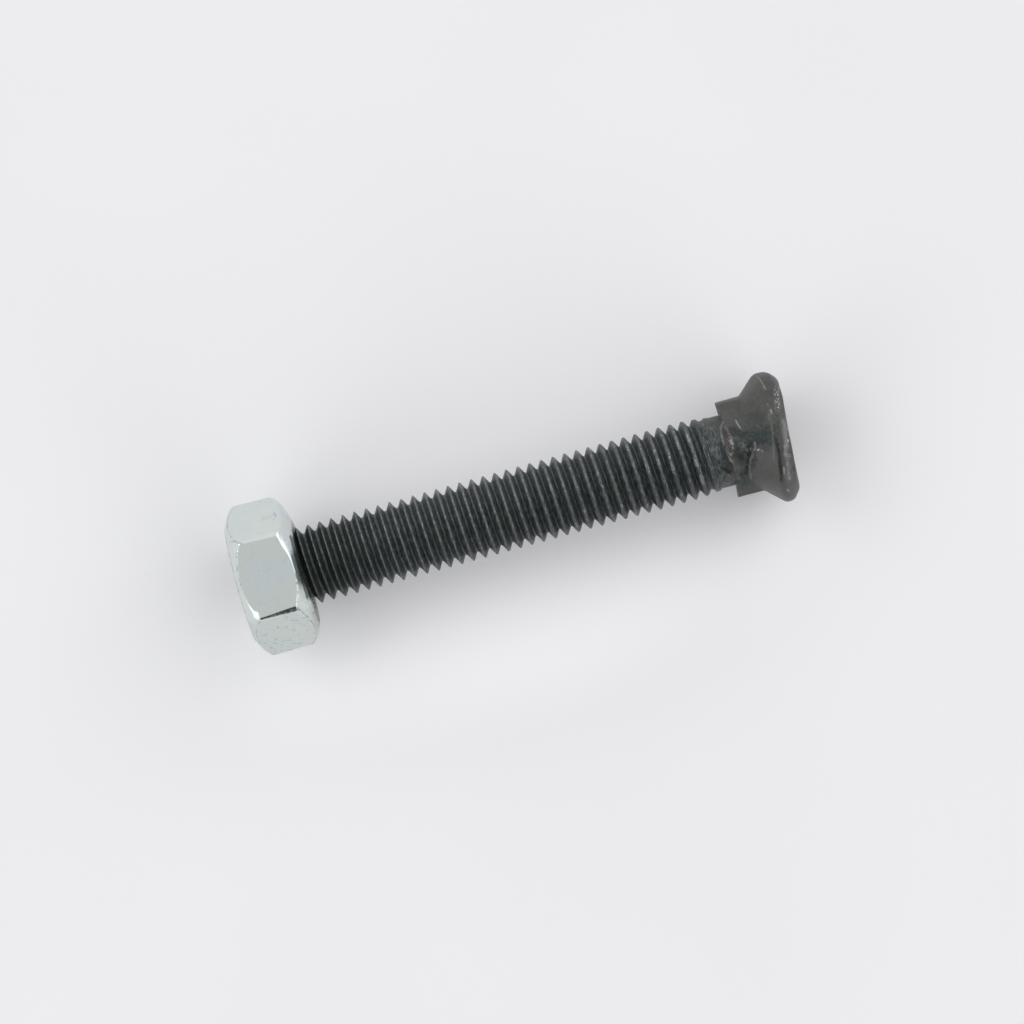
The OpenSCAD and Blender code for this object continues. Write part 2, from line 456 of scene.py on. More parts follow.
# Teal stains, which also paint shade onto the neck, darkest on its lower flat
TEAL_AND_SHADE = [
    (0.90, 0.90, [(62.94, 2.09), (64.63, 1.10)]),
    (0.95, 2.00, [(65.20, 0.60), (66.70, 0.40)]),
    (0.85, 1.20, [(62.96, -3.07), (64.00, -2.46)]),
    (0.80, 1.20, [(62.60, -4.40), (63.40, -4.40)]),
    (0.45, 1.60, [(65.90, 2.60), (66.30, 2.60)]),
    (0.80, 1.20, [(62.90, -0.80), (63.80, -1.90)]),
    (0.80, 0.90, [(62.90, 0.50), (64.20, 0.20)]),
]


def painted(table, station, y):
    """The strongest of a table's marks at a place. Noise makes a mark uneven along its way."""
    strongest = 0.0
    uneven = noise.noise(Vector((station / 0.4, y / 0.4, 40.0)))
    for strength, full_width, points in table:
        width = full_width * (1 + 0.45 * uneven)
        for (s0, y0), (s1, y1) in zip(points, points[1:]):
            if not min(s0, s1) - width < station < max(s0, s1) + width:
                continue
            if not min(y0, y1) - width < y < max(y0, y1) + width:
                continue
            share = (station - s0) * (s1 - s0) + (y - y0) * (y1 - y0)
            share /= (s1 - s0) ** 2 + (y1 - y0) ** 2
            share = max(0.0, min(1.0, share))
            away = math.hypot(station - mix(s0, s1, share), y - mix(y0, y1, share))
            strongest = max(strongest, strength * ramp(away, width, 0.2 * width))
    return strongest * (1 + 0.6 * uneven)


def head_paint(station, y, z, grime_and_shade):
    """The marks at a place. The underside has none but its grime and painted shade."""
    if z < 0:
        return {"grime_and_shade": grime_and_shade}
    return {
        "grime_and_shade": max(grime_and_shade, painted(GRIME_AND_SHADE_MARKS, station, y)),
        "scuff_and_highlight": painted(SCUFFS_AND_HIGHLIGHTS, station, y),
        "fleck": painted(SPECKLED, station, y),
        "teal_and_shade": painted(TEAL_AND_SHADE, station, y),
        "brown": painted(BROWN, station, y),
    }


# ---------------------------------------------------------------- the whole bolt as one skin

# Distances from a crest of the rows on its crest, flanks and roots
CREST_ROWS = [0.0, 0.055, 0.12]
FLANK_ROWS = [0.26, 0.42]
ROOT_ROWS = [0.60, 0.68, 0.75]

# Rows climb with the thread up to one station. Rings a fixed step apart follow it.
BOLT_COLUMNS = 112
HELICAL_END = 58.5
RING_STEP = 0.1
RING_COUNT = 12

# How far the cut end is dished, where marks begin, and where the forged skin's lumps set in
END_DISH = 0.06
MARKED_FROM = 50
FORGED_FROM = (61.3, 62.4)


def rows_in_a_pitch():
    """Offsets of the rows in one pitch from its start, crowded at the crest and the root."""
    crest_at = CREST_TURN * PITCH + CREST_SHIFT
    half = CREST_ROWS + FLANK_ROWS + ROOT_ROWS
    both = half + [-x for x in half]
    return sorted(set(round((crest_at + x) % PITCH, 5) for x in both))


def make_bolt():
    """Thread rows that climb like the thread, then rings on the run-out, then the neck and the head."""
    columns = BOLT_COLUMNS
    angles = crowded_angles(columns, corners=4, first_corner=NECK_TURN, crowding=0.55)
    skin = Skin("grime_and_shade", "scuff_and_highlight", "fleck", "teal_and_shade", "brown")
    pattern = rows_in_a_pitch()
    per_pitch = len(pattern)
    turns = round(HELICAL_END / PITCH)
    levels = [turn * PITCH + x - pattern[0] for turn in range(turns) for x in pattern]
    levels.append(HELICAL_END)

    # Every row of the thread: its station at angle 0, and how far it climbs in one turn
    rows = [(0.0, x - pattern[0]) for x in pattern]
    rows += [(level, PITCH) for level in levels]
    last_helical = len(rows) - 1
    rows += [(HELICAL_END + x - pattern[0], PITCH - (x - pattern[0])) for x in pattern[1:]]
    rows.append((HELICAL_END + PITCH, 0.0))
    fan_out_end = len(rows) - 1

    def thread_key(row, column):
        """A row that has gone once round ends on the row one pitch further on."""
        if column == columns:
            row = min(row + per_pitch, fan_out_end) if row < last_helical else fan_out_end
            column = 0
        if column == 0 and row <= per_pitch:
            row = 0
        return ("t", row, column)

    def thread_vertex(row, column):
        key = thread_key(row, column)
        if key in skin.keys:
            return skin.keys[key]
        start, climb = rows[key[1]]
        angle = angles[key[2]]
        station = start + climb * angle / TAU
        if climb == PITCH:
            station = gathered(station, angle)
        radius = bolt_thread(station, angle)
        paint = {}
        if station > MARKED_FROM:
            paint = head_paint(station, radius * math.cos(angle), math.sin(angle), 0.0)
        return skin.vertex(key, on_axis(station, radius, angle), **paint)

    for row in range(fan_out_end):
        for column in range(columns):
            skin.face(
                thread_vertex(row, column),
                thread_vertex(row, column + 1),
                thread_vertex(row + 1, column + 1),
                thread_vertex(row + 1, column),
            )

    # The cut end: rings from the chamfer's edge to the middle, a little dished
    edge_r = CREST_R - END_CHAMFER
    end_rings = [edge_r, edge_r - 0.12, 3.2, 2.4, 1.6, 0.8]
    hub = skin.vertex("end hub", on_axis(0.08, 0, 0))

    def end_vertex(ring, column):
        column %= columns
        if ring == 0:
            return thread_vertex(0, column)
        depth = 0.02 + END_DISH * (1 - end_rings[ring] / edge_r)
        depth += 0.02 * wobble(0, angles[column], size=1.5 + end_rings[ring], seed=8.0)
        return skin.vertex(("e", ring, column), on_axis(depth, end_rings[ring], angles[column]))

    for ring in range(len(end_rings) - 1):
        for column in range(columns):
            skin.face(
                end_vertex(ring, column),
                end_vertex(ring + 1, column),
                end_vertex(ring + 1, column + 1),
                end_vertex(ring, column + 1),
            )
    last_ring = len(end_rings) - 1
    for column in range(columns):
        skin.face(end_vertex(last_ring, column), hub, end_vertex(last_ring, column + 1))

    # The last of the run-out: rings with the thread's columns
    ring_start = HELICAL_END + PITCH

    def ring_vertex(ring, column):
        column %= columns
        if ring == 0:
            return thread_vertex(fan_out_end, column)
        station = ring_start + ring * RING_STEP
        angle = angles[column]
        radius = bolt_thread(station, angle)
        paint = head_paint(station, radius * math.cos(angle), math.sin(angle), 0.0)
        return skin.vertex(("r", ring, column), on_axis(station, radius, angle), **paint)

    for ring in range(RING_COUNT):
        for column in range(columns):
            skin.face(
                ring_vertex(ring, column),
                ring_vertex(ring, column + 1),
                ring_vertex(ring + 1, column + 1),
                ring_vertex(ring + 1, column),
            )

    # Neck and head, with twice the columns
    shank_end = ring_start + RING_COUNT * RING_STEP
    fine_angles = []
    for low, high in zip(angles, angles[1:] + [angles[0] + TAU]):
        fine_angles += [low, (low + high) / 2]
    fine = len(fine_angles)
    outlines = [head_outline(angle, shank_end + 0.05) for angle in fine_angles]
    outline_rows = len(outlines[0])

    def head_vertex(row, column):
        column %= fine
        station, radius = outlines[column][row]
        angle = fine_angles[column]
        depth, grime_and_shade = hollow(station, angle, radius)
        lumps = 0.035 * wobble(station, angle, size=2.6, seed=5.5)
        lumps += 0.012 * wobble(station, angle, size=0.8, seed=9.5)
        radius += (lumps * ramp(station, *FORGED_FROM) - depth) * ramp(radius, 0.5, 3.0)
        paint = head_paint(station, radius * math.cos(angle), math.sin(angle), grime_and_shade)
        return skin.vertex(("h", row, column), on_axis(station, radius, angle), **paint)

    for column in range(columns):
        here = ring_vertex(RING_COUNT, column)
        after = ring_vertex(RING_COUNT, column + 1)
        left, middle, right = (head_vertex(0, 2 * column + k) for k in range(3))
        skin.face(here, middle, left)
        skin.face(here, after, middle)
        skin.face(after, right, middle)
    for row in range(outline_rows - 1):
        for column in range(fine):
            skin.face(
                head_vertex(row, column),
                head_vertex(row, column + 1),
                head_vertex(row + 1, column + 1),
                head_vertex(row + 1, column),
            )
    cap = skin.vertex("cap", on_axis(FACE_MIDDLE, 0, 0))
    last_row = outline_rows - 1
    for column in range(fine):
        skin.face(head_vertex(last_row, column), head_vertex(last_row, column + 1), cap)
    return skin.made("bolt_body")


# ---------------------------------------------------------------- the nut


def chamfer_radius(depth, face_r, corner_depth, roundness):
    """Radius of the nut's barrel at a depth below an end face."""
    left = max(1 - depth / corner_depth, 0)
    return face_r + (NUT_CORNER_R - face_r) * (1 - left**roundness)


def nut_outside(depth, angle):
    """Radius of the nut's outside at a depth below its outer face, and how much grime and painted shade it
    has there.
    """
    sixth = math.pi / 3
    off_flat = angle % sixth - sixth / 2
    sideways = math.cos(angle)
    off_knock = math.degrees(angle) - KNOCKED_CORNER
    knocked = math.exp(-((off_knock / KNOCK_SPREAD) ** 2))
    at_bearing = ramp(depth, *BEARING_EDGE)
    hexagon = NUT_FLAT_R / math.cos(off_flat)
    outer = chamfer_radius(depth, *OUTER_CHAMFER)
    bearing = chamfer_radius(NUT_HEIGHT - depth, *BEARING_CHAMFER)
    side = BEARING_CHAMFER_AT_Y if sideways > 0 else BEARING_CHAMFER_AT_MINUS_Y
    rounder = chamfer_radius(NUT_HEIGHT - depth, *side)
    bearing = mix(bearing, rounder, ramp(abs(sideways), 0.62, 0.96))
    corner_wear = NUT_CORNER_WEAR * max(sideways, 0) ** 4 + 0.09 * ramp(depth, 1.0, 6.8)
    corner_wear += 0.05 * knocked * ramp(depth, 2.0, 6.5)
    barrel = min(outer, bearing) - corner_wear

    # A spanner has rounded the chamfers' edges over towards one end of each flat
    past_middle = math.degrees(off_flat)
    if outer < bearing:
        worn = 0.75 * ramp(past_middle, 17, 29) + 0.15 * ramp(-past_middle, 20, 29)
        blend = EDGE_ROUNDING + (worn + 0.5 * knocked) * ramp(depth, 2.4, 1.3)
    else:
        worn = mix(0.02, 0.12, ramp(past_middle, 8, -2)) + 0.80 * ramp(-past_middle, 6, 26)
        blend = EDGE_ROUNDING + (worn + 0.7 * knocked) * at_bearing
    radius = smooth_min(hexagon, barrel, blend)

    # Dirt along the chamfers' edges and the outer face's rim, a painted dark reflection along the knocked
    # corner, and painted shade in the bearing end's ring
    close = math.exp(-((hexagon - barrel) / 0.11) ** 2)
    outer_edge = mix(0.8, 1.3, ramp(past_middle, 14, 0)) * close * ramp(depth, 2.1, 1.5) * (1 - knocked)
    bearing_edge = 1.4 * close * at_bearing * ramp(sideways, 0.25, -0.25)
    # A painted dark reflection along the edge of the knocked corner
    half_line = mix(0.8, 2.0, ramp(depth, 1.6, 6.6))
    painted_dark_reflection = 1.2 * ramp(abs(off_knock), half_line + 0.4, half_line - 0.4)
    painted_dark_reflection *= ramp(depth, 1.5, 1.8) * ramp(depth, 6.8, 6.5)
    face_edge = 0.9 * ramp(depth, 0.22, 0.04)
    # Painted shade round the bearing end, strongest on top and below, standing in for the bolt's dark
    # reflection
    painted_shade_ring = ramp(depth, SHADE_RING_DEPTH - 0.12, SHADE_RING_DEPTH + 0.12)
    painted_shade_ring *= mix(0.6, 2.4, ramp(abs(sideways), 0.60, 0.45))
    return radius, max(outer_edge, bearing_edge, painted_dark_reflection, face_edge, painted_shade_ring)


def nut_inside(depth, angle):
    """Radius of the threaded bore, with a countersink at each end."""
    away = abs(tooth_offset(depth + NUT_START, angle))
    slope = CREST_R + THREAD_GAP - (away - NUT_THREAD_HALF_FLAT) / math.tan(FLANK_ANGLE)
    thread = smooth_max(min(slope, BORE_R), NUT_MINOR_R, 0.08)
    sink = BORE_R + BORE_SINK - min(depth, NUT_HEIGHT - depth)
    return smooth_max(thread, sink, 0.05)


def spread(low, high, count):
    """Evenly spaced values from low up to, but not at, high."""
    return [low + (high - low) * i / count for i in range(count)]


# Rows of the skin over each chamfer, between the chamfers and in the bore
NUT_COLUMNS = 240
CHAMFER_ROWS = 30
SIDE_ROWS = 8
BORE_ROWS = 100
SIDE_FROM = 2.1
SIDE_TO = 6.0
FACE_SHARES = (0.04, 0.4, 0.75, 0.96)
# Strength of the painted shade on the bearing face and through the bore
BEARING_END_SHADE = 1.2


def make_nut():
    """Rings over the outer face, down the outside, over the bearing face and back through the bore."""
    columns = NUT_COLUMNS
    angles = crowded_angles(columns, corners=6, first_corner=0.0, crowding=0.7)
    sink_r = BORE_R + BORE_SINK
    outer_rows = spread(0, SIDE_FROM, CHAMFER_ROWS) + spread(SIDE_FROM, SIDE_TO, SIDE_ROWS)
    outer_rows += spread(SIDE_TO, NUT_HEIGHT, CHAMFER_ROWS) + [NUT_HEIGHT]
    bore_rows = spread(NUT_HEIGHT, 0, BORE_ROWS)
    rows = [("face", 0.0, share) for share in (0.0, *FACE_SHARES)]
    rows += [("out", depth, None) for depth in outer_rows]
    rows += [("face", NUT_HEIGHT, share) for share in reversed(FACE_SHARES)]
    rows += [("in", depth, None) for depth in bore_rows]
    skin = Skin("grime_and_shade")

    def vertex(row, column):
        row %= len(rows)
        column %= columns
        angle = angles[column]
        kind, depth, share = rows[row]
        # Painted shade on the bearing face and the bore's bearing end
        grime_and_shade = BEARING_END_SHADE if depth > SHADE_RING_DEPTH else 0.0
        if kind == "face":
            radius = mix(sink_r, nut_outside(depth, angle)[0], share)
        if kind == "out":
            radius, grime_and_shade = nut_outside(depth, angle)
        if kind == "in":
            radius = nut_inside(depth, angle)
        return skin.vertex((row, column), on_axis(depth + NUT_START, radius, angle), grime_and_shade=grime_and_shade)

    for row in range(len(rows)):
        for column in range(columns):
            skin.face(
                vertex(row, column),
                vertex(row, column + 1),
                vertex(row + 1, column + 1),
                vertex(row + 1, column),
            )
    return skin.made("nut_body")


# ---------------------------------------------------------------- materials


class Nodes:
    """Short calls that build a node tree, of a material or the world. Places are in millimetres."""

    FAR = 9.0
    RAGGEDNESS = 0.35

    def __init__(self, owner):
        owner.use_nodes = True
        self.owner = owner
        self.tree = owner.node_tree
        self.shader = self.tree.nodes.get("Principled BSDF")

    def feed(self, socket, value):
        if isinstance(value, bpy.types.NodeSocket):
            self.tree.links.new(value, socket)
        else:
            socket.default_value = value

    def add(self, kind, *inputs, **settings):
        node = self.tree.nodes.new("ShaderNode" + kind)
        for key, value in settings.items():
            setattr(node, key, value)
        for socket, value in zip(node.inputs, inputs):
            self.feed(socket, value)
        return node

    def math(self, operation, a, b=0.0):
        return self.add("Math", a, b, operation=operation).outputs[0]

    def step(self, value, low, high):
        """0 below low and 1 above high, smooth between. High may be the smaller."""
        node = self.add("MapRange", value, low, high, 0.0, 1.0, interpolation_type="SMOOTHSTEP")
        return node.outputs[0]

    def window(self, value, low, high, soft):
        """1 between low and high, and 0 beyond a soft edge on each side."""
        rise = self.step(value, low - soft, low)
        fall = self.step(value, high + soft, high)
        return self.math("MULTIPLY", rise, fall)

    def place(self):
        """Station, Y and Z of a point, from the bolt's free end and axis."""
        coordinates = self.add("TexCoord").outputs["Object"]
        moved = self.add("VectorMath", coordinates, (END_X, 0.0, AXIS_Z), operation="SUBTRACT").outputs[0]
        return self.scaled(moved, (1 / MM, 1 / MM, 1 / MM))

    def scaled(self, vector, factors):
        return self.add("VectorMath", vector, factors, operation="MULTIPLY").outputs[0]

    def split(self, vector):
        return self.add("SeparateXYZ", vector).outputs

    def noise(self, place, size, detail=2.0, roughness=0.5):
        """Noise round 0.5. The size is one number, or one along each axis."""
        sizes = size if isinstance(size, tuple) else (size, size, size)
        vector = self.scaled(place, tuple(1 / one for one in sizes))
        node = self.add("TexNoise")
        self.feed(node.inputs["Vector"], vector)
        self.feed(node.inputs["Scale"], 1.0)
        self.feed(node.inputs["Detail"], detail)
        self.feed(node.inputs["Roughness"], roughness)
        return node.outputs["Fac"]

    def spots(self, place, size, low, high):
        """1 in the peaks of a noise, 0 elsewhere."""
        return self.step(self.noise(place, size), low, high)

    def stroke(self, flat_place, points, width):
        """1 along a line through the points, each a station and a Y, and 0 beyond its width."""
        nearest = self.FAR
        for start, end in zip(points, points[1:]):
            way = Vector((end[0] - start[0], end[1] - start[1], 0.0))
            gone = self.add("VectorMath", flat_place, (*start, 0.0), operation="SUBTRACT").outputs[0]
            per_length = way / way.length_squared
            share = self.add("VectorMath", gone, per_length, operation="DOT_PRODUCT").outputs["Value"]
            share = self.add("Clamp", share).outputs[0]
            foot = self.add("VectorMath", share, way, operation="MULTIPLY").outputs[0]
            away = self.add("VectorMath", gone, foot, operation="DISTANCE").outputs["Value"]
            nearest = self.math("MINIMUM", nearest, away)
        return self.step(nearest, width, 0.3 * width)

    def marks(self, place, table):
        """The strongest of a table's marks at a point on the upper side, with ragged edges."""
        station, y, z = self.split(place)
        ragged = self.math("SUBTRACT", self.noise(place, 0.35), 0.5)
        uneven = self.math("SUBTRACT", self.noise(place, 0.28), 0.5)
        station = self.math("ADD", station, self.math("MULTIPLY", ragged, self.RAGGEDNESS))
        y = self.math("ADD", y, self.math("MULTIPLY", uneven, self.RAGGEDNESS))
        flat_place = self.add("CombineXYZ", station, y, 0.0).outputs[0]
        total = 0.0
        for strength, width, points in table:
            mark = self.math("MULTIPLY", self.stroke(flat_place, points, width), strength)
            total = self.math("MAXIMUM", total, mark)
        return self.math("MULTIPLY", total, self.step(z, 0.0, 0.8))

    def attribute(self, name):
        return self.add("Attribute", attribute_name=name).outputs["Fac"]

    def mix(self, share, a, b):
        node = self.add("Mix", data_type="RGBA")
        self.feed(node.inputs["Factor"], share)
        self.feed(node.inputs["A"], a)
        self.feed(node.inputs["B"], b)
        return node.outputs["Result"]

    def blend(self, share, a, b):
        """A number from a to b by share."""
        return self.add("MapRange", share, 0.0, 1.0, a, b).outputs[0]

    def many(self, operation, *values):
        """One operation run through all the values."""
        total = values[0]
        for value in values[1:]:
            total = self.math(operation, total, value)
        return total

    def bump(self, height, depth):
        """Bends the shading by a height from 0 to 1 that is that many millimetres deep."""
        node = self.add("Bump")
        self.feed(node.inputs["Strength"], 1.0)
        self.feed(node.inputs["Distance"], depth * MM)
        self.feed(node.inputs["Height"], height)
        self.feed(self.shader.inputs["Normal"], node.outputs["Normal"])

    def finish(self, colour, roughness, metallic):
        self.feed(self.shader.inputs["Base Color"], colour)
        self.feed(self.shader.inputs["Roughness"], roughness)
        self.feed(self.shader.inputs["Metallic"], metallic)
        return self.owner


OXIDE = (0.040, 0.053, 0.052, 1)
OXIDE_CLOUD = (0.058, 0.068, 0.064, 1)
OXIDE_MOTTLE = (0.074, 0.080, 0.086, 1)
PALE_STREAK = (0.160, 0.168, 0.168, 1)
DARK_STREAK = (0.018, 0.024, 0.023, 1)
LIT_THREAD_GREY = (0.125, 0.135, 0.138, 1)
NEAR_NUT = (0.016, 0.024, 0.021, 1)
FORGED = (0.060, 0.064, 0.057, 1)
FORGED_CLOUD = (0.084, 0.085, 0.082, 1)
FORGED_MOTTLE = (0.094, 0.096, 0.088, 1)
TEAL_STAIN_AND_SHADE = (0.028, 0.038, 0.037, 1)
BROWN_STAIN = (0.046, 0.041, 0.035, 1)
SCRAPED_SKIN = (0.16, 0.17, 0.16, 1)
RUBBED_CREST_AND_HIGHLIGHT = (0.23, 0.24, 0.235, 1)
ROOT_HIGHLIGHT = (0.15, 0.165, 0.165, 1)
BLACK_GRIME_AND_SHADE = (0.010, 0.015, 0.014, 1)
SCUFFED_METAL_AND_HIGHLIGHT = (0.52, 0.53, 0.52, 1)
BARE_METAL = (0.50, 0.50, 0.48, 1)
HEAD_FROM = (60.8, 62.2)
BOLT_BUMP = 0.018
OXIDE_METALLIC = 0.55


def bolt_material():
    """Black oxide: green-black on the thread, a lighter olive grey on the forged neck and head."""
    n = Nodes(bpy.data.materials.new("black_steel"))
    place = n.place()
    station, y, z = n.split(place)
    radius = n.math("SQRT", n.math("ADD", n.math("MULTIPLY", y, y), n.math("MULTIPLY", z, z)))
    on_head = n.step(station, *HEAD_FROM)
    on_thread = n.math("SUBTRACT", 1.0, on_head)

    clouds = n.noise(place, 4.0, 3.0)
    mottle = n.noise(place, 0.7, 3.0, 0.6)
    grain = n.noise(place, 0.22, 2.0)
    speckle = n.noise(place, 0.13, 2.0)
    streaks = n.noise(place, (0.10, 0.7, 0.7), 2.0, 0.6)

    thread = n.mix(n.step(clouds, 0.35, 0.65), OXIDE, OXIDE_CLOUD)
    thread = n.mix(n.step(mottle, 0.5, 0.75), thread, OXIDE_MOTTLE)
    thread = n.mix(n.step(streaks, 0.50, 0.72), thread, PALE_STREAK)
    thread = n.mix(n.step(streaks, 0.50, 0.34), thread, DARK_STREAK)
    # Painted light: the thread's upper side, towards +Y, is made a lighter grey, as if lit from that side
    painted_light_side = n.step(y, 0.0, 3.5)
    painted_light_on_thread = n.many("MULTIPLY", painted_light_side, n.step(station, 12.0, 28.0), n.step(station, 59.5, 57.0))
    thread = n.mix(n.math("MULTIPLY", painted_light_on_thread, 0.30), thread, LIT_THREAD_GREY)
    thread = n.mix(n.math("MULTIPLY", n.step(station, 20.0, 10.0), 0.65), thread, NEAR_NUT)
    head = n.mix(n.step(clouds, 0.3, 0.7), FORGED, FORGED_CLOUD)
    head = n.mix(n.step(mottle, 0.35, 0.8), head, FORGED_MOTTLE)
    # Teal stains and painted shade
    head = n.mix(n.attribute("teal_and_shade"), head, TEAL_STAIN_AND_SHADE)
    head = n.mix(n.attribute("brown"), head, BROWN_STAIN)
    colour = n.mix(on_head, thread, head)

    # Rough, scraped skin where the thread runs out into the shank
    scraped = n.window(station, 59.4, 60.9, 0.5)
    colour = n.mix(n.many("MULTIPLY", scraped, n.step(mottle, 0.45, 0.7), 0.5), colour, SCRAPED_SKIN)

    # Crests rubbed bright, in thin lines near the nut and wider, patchier ones near the head, and brighter
    # on the lit side as a painted highlight
    crest_low = n.blend(n.step(station, 5.0, 55.0), 4.85, 4.70)
    rubbed_and_highlight = n.add("MapRange", radius, crest_low, 4.91, 0.0, 1.0).outputs[0]
    patchy = n.blend(n.step(n.noise(place, 0.45, 3.0, 0.7), 0.38, 0.66), 0.12, 1.0)
    patchy = n.math("MULTIPLY", patchy, n.blend(n.step(speckle, 0.38, 0.60), 0.55, 1.25))
    lit_side = n.blend(n.step(y, -4.0, 2.5), 0.45, 1.0)
    blunt = n.step(station, 15.0, 50.0)
    rubbed_and_highlight = n.many("MULTIPLY", rubbed_and_highlight, patchy, lit_side, on_thread, n.blend(blunt, 1.0, 0.42))
    colour = n.mix(rubbed_and_highlight, colour, RUBBED_CREST_AND_HIGHLIGHT)
    # A painted highlight along the roots, brighter on the lit side
    root_highlight = n.math("MULTIPLY", n.step(radius, 4.10, 4.00), n.step(station, 0.5, 1.0))
    root_highlight = n.many("MULTIPLY", root_highlight, patchy, lit_side, on_thread)
    colour = n.mix(n.math("MULTIPLY", root_highlight, 0.7), colour, ROOT_HIGHLIGHT)
    chipped = n.many(
        "MULTIPLY", n.step(radius, 4.72, 4.84), blunt, n.spots(place, 0.9, 0.56, 0.68), on_thread
    )
    chipped = n.math("MULTIPLY", chipped, n.step(speckle, 0.46, 0.58))

    # Grime and painted shade in the hollows, then scuffs, some of them painted highlights, and specks of
    # bare metal
    grime_and_shade = n.math("MULTIPLY", n.attribute("grime_and_shade"), n.blend(n.step(grain, 0.35, 0.6), 0.6, 1.0))
    colour = n.mix(grime_and_shade, colour, BLACK_GRIME_AND_SHADE)
    scuffs_and_highlights = n.math("MULTIPLY", n.attribute("scuff_and_highlight"), n.blend(n.step(speckle, 0.38, 0.55), 0.35, 1.0))
    colour = n.mix(scuffs_and_highlights, colour, SCUFFED_METAL_AND_HIGHLIGHT)
    specks = n.math("MULTIPLY", n.step(speckle, 0.66, 0.74), n.spots(place, 2.2, 0.45, 0.6))
    speckled = n.math("MULTIPLY", n.attribute("fleck"), n.step(speckle, 0.54, 0.62))
    bare = n.math("MAXIMUM", n.math("MULTIPLY", specks, 0.6), speckled)
    bare = n.math("MAXIMUM", bare, n.math("MULTIPLY", chipped, 0.5))
    colour = n.mix(bare, colour, BARE_METAL)

    uneven = n.math("ADD", mottle, n.math("MULTIPLY", grain, 0.4))
    roughness = n.add("MapRange", uneven, 0.4, 1.0, 0.34, 0.58).outputs[0]
    roughness = n.math("SUBTRACT", roughness, n.math("MULTIPLY", rubbed_and_highlight, 0.08))
    roughness = n.math("ADD", roughness, n.math("MULTIPLY", grime_and_shade, 0.2))
    height = n.math("ADD", n.math("MULTIPLY", grain, 0.5), n.math("MULTIPLY", streaks, on_thread))
    height = n.math("ADD", height, n.math("MULTIPLY", mottle, n.math("MULTIPLY", on_head, 2.0)))
    height = n.math("ADD", height, n.many("MULTIPLY", scraped, streaks, 2.0))
    n.bump(height, BOLT_BUMP)
    return n.finish(colour, roughness, OXIDE_METALLIC)


# Marks on the upper side of the nut, given like the bolt's
NUT_SCRAPES = [
    (0.30, 0.26, [(4.60, 6.98), (4.80, 7.05)]),
    (0.22, 0.14, [(4.90, 7.10), (5.50, 6.95), (6.00, 7.15)]),
    (0.60, 0.24, [(6.10, 7.25), (6.22, 6.95)]),
    (0.45, 0.14, [(0.08, 5.27), (0.90, 5.21), (1.60, 4.63)]),
    (0.60, 0.20, [(2.90, -6.24), (2.90, -6.36)]),
    (0.50, 0.14, [(0.72, -6.82), (1.31, -6.82)]),
    (0.50, 0.22, [(4.61, -7.10), (4.68, -7.28)]),
    (0.45, 0.12, [(3.20, -8.16), (4.00, -8.38)]),
]
ZINC = (0.70, 0.75, 0.72, 1)
ZINC_CLOUD = (0.68, 0.745, 0.755, 1)
ZINC_MOTTLE = (0.63, 0.68, 0.64, 1)
DULL_ZINC = (0.58, 0.62, 0.58, 1)
ZINC_PIT = (0.20, 0.23, 0.20, 1)
NUT_DIRT_AND_SHADE = (0.06, 0.07, 0.07, 1)
NUT_BUMP = 0.009
ZINC_METALLIC = 0.95


def nut_material():
    """Bright zinc plate with bluish clouds, fine grain, pits, dirty edges, a painted dark reflection along
    one corner and painted shade at the bearing end.
    """
    n = Nodes(bpy.data.materials.new("zinc_plate"))
    place = n.place()
    station, y, z = n.split(place)
    clouds = n.noise(place, 3.2, 3.0)
    mottle = n.noise(place, 0.9, 3.0, 0.6)
    grain = n.noise(place, 0.16, 2.0)
    brushed = n.noise(place, (2.5, 0.25, 0.25), 2.0)
    colour = n.mix(n.step(clouds, 0.4, 0.65), ZINC, ZINC_CLOUD)
    colour = n.mix(n.math("MULTIPLY", n.step(mottle, 0.45, 0.8), 0.5), colour, ZINC_MOTTLE)

    # The side towards -Y is duller and pitted; the others have only a few pits
    dull = n.step(y, -4.7, -5.3)
    colour = n.mix(n.math("MULTIPLY", dull, 0.5), colour, DULL_ZINC)
    few = n.math("MULTIPLY", n.spots(place, 0.28, 0.66, 0.72), n.spots(place, 3.0, 0.48, 0.6))
    many = n.many("MULTIPLY", n.spots(place, 0.42, 0.58, 0.67), n.spots(place, 1.6, 0.44, 0.56), dull)
    pits = n.math("MAXIMUM", n.math("MAXIMUM", few, many), n.marks(place, NUT_SCRAPES))
    colour = n.mix(n.math("MULTIPLY", pits, n.blend(dull, 0.6, 0.42)), colour, ZINC_PIT)
    # Dirt and painted shade, from one attribute, mixed towards near black
    grime_and_shade = n.attribute("grime_and_shade")
    patchy = n.math("ADD", n.noise(place, 0.35, 3.0, 0.7), n.math("MULTIPLY", grime_and_shade, 0.3))
    dirt_and_shade = n.many("MULTIPLY", n.step(grime_and_shade, 0.0, 0.7), n.step(patchy, 0.64, 0.98), 0.85)
    colour = n.mix(dirt_and_shade, colour, NUT_DIRT_AND_SHADE)

    roughness = n.add("MapRange", n.math("ADD", mottle, grain), 0.6, 1.4, 0.16, 0.28).outputs[0]
    roughness = n.math("ADD", roughness, n.math("MULTIPLY", dull, 0.16))
    height = n.math("ADD", n.math("MULTIPLY", grain, 0.4), mottle)
    height = n.math("ADD", height, n.math("MULTIPLY", brushed, 0.3))
    height = n.math("SUBTRACT", height, n.math("MULTIPLY", pits, n.blend(dull, 1.5, 0.7)))
    n.bump(height, NUT_BUMP)
    return n.finish(colour, roughness, ZINC_METALLIC)


CARD = (0.845, 0.841, 0.850, 1)
CARD_CLOUD = (0.865, 0.861, 0.870, 1)
CARD_PAINTED_LIGHT = (0.975, 0.970, 0.975, 1)
PAINTED_LIGHT_SCALE = (0.018, 0.045, 0.0)
PAINTED_LIGHT_CENTRE = (0.54, -0.36, 0.0)


